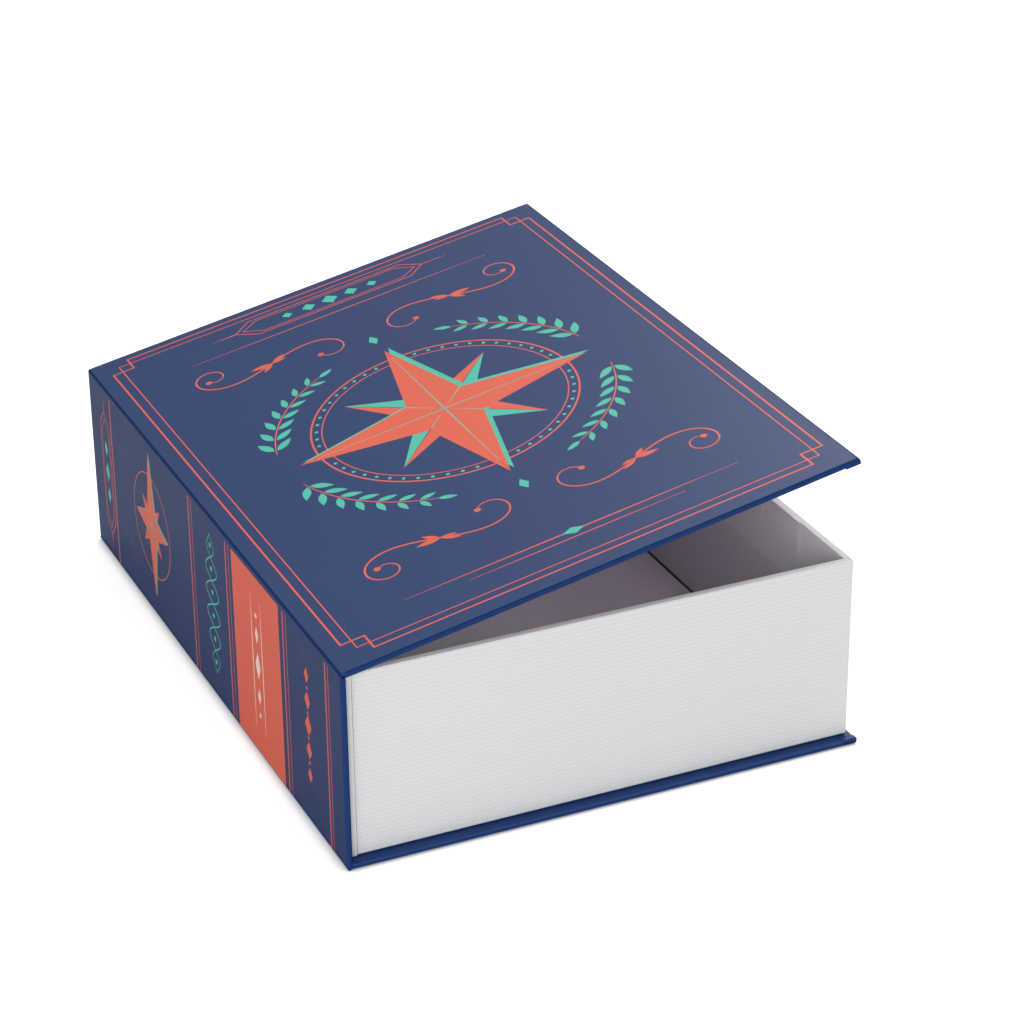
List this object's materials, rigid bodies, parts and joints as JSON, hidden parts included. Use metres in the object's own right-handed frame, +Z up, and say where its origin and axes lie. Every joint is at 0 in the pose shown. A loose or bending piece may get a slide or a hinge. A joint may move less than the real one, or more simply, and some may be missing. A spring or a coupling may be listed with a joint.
{
  "type": "book box",
  "caption": "Storage box in the shape of a hardback book, with a hinged magnetic front cover over a lined tray with ribbed page edges.",
  "frame": {"origin": "on the table under the middle of the box", "axes": "+X from the spine to the fore edge, +Y from the tail to the head, +Z up"},
  "size_m": [0.19, 0.264, 0.1105],
  "materials": {
    "printed_cover": "matt film laminated print",
    "greyboard": "raw greyboard",
    "gummed_paper": "matt brown paper",
    "page_paper": "ribbed uncoated paper",
    "lining_paper": "uncoated paper",
    "steel_plate": "cold rolled sheet",
    "magnet": "nickel plated"
  },
  "bodies": {
    "case_and_tray": {"back_cover_wrap": "printed_cover", "back_board": "greyboard", "spine_wrap": "printed_cover", "spine_board": "greyboard", "joint_lining": "lining_paper", "tray_floor": "greyboard", "tray_spine_wall": "greyboard", "tray_fore_edge_wall": "greyboard", "tray_head_wall": "greyboard", "tray_tail_wall": "greyboard", "corner_stays": "gummed_paper", "spine_side_paper": "page_paper", "page_edge_paper": "page_paper", "closure_plates": "steel_plate", "wall_lining": "lining_paper", "floor_card": "greyboard", "floor_card_paper": "lining_paper"},
    "front_cover": {"front_cover_wrap": "printed_cover", "front_board": "greyboard", "front_cover_lining": "lining_paper", "cover_magnets": "magnet"}
  },
  "joints": [
    {"name": "front_cover_hinge", "type": "hinge", "parent": "case_and_tray", "child": "front_cover", "pos_m": [-0.0947, 0, 0.0727], "axis": [0, -1, 0], "range_deg": [-11.4, 190.5]}
  ]
}
